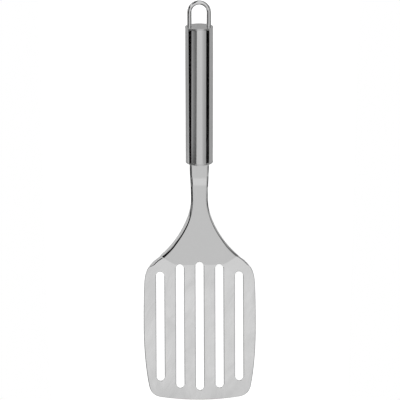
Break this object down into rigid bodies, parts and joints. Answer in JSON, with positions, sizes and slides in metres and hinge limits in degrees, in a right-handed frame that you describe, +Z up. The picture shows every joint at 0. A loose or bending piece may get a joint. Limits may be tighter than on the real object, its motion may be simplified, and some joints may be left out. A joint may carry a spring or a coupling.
{
  "type": "kitchen turner",
  "caption": "Long-handled slotted turner of stainless steel: flat pressed blade with raised shoulder, narrow neck, round tube handle with end caps and a wire loop to hang it by.",
  "frame": {"origin": "on the table, under the middle of the turner as it lies on its shoulder rims and front cap", "axes": "+Y along the turner from blade to hanging loop, X across the blade, +Z up"},
  "size_m": [0.0812, 0.289, 0.027],
  "materials": {
    "blade_steel": "satin stainless sheet, faintly brushed, with fine use marks",
    "tube_steel": "polished stainless tube with a fine lengthwise grain",
    "cap_steel": "stamped stainless cap, satin face and polished rim",
    "wire_steel": "polished stainless wire"
  },
  "bodies": {
    "root": {"blade": "blade_steel", "front_cap": "cap_steel", "handle_tube": "tube_steel", "end_cap": "cap_steel", "hanging_loop": "wire_steel"}
  },
  "joints": []
}
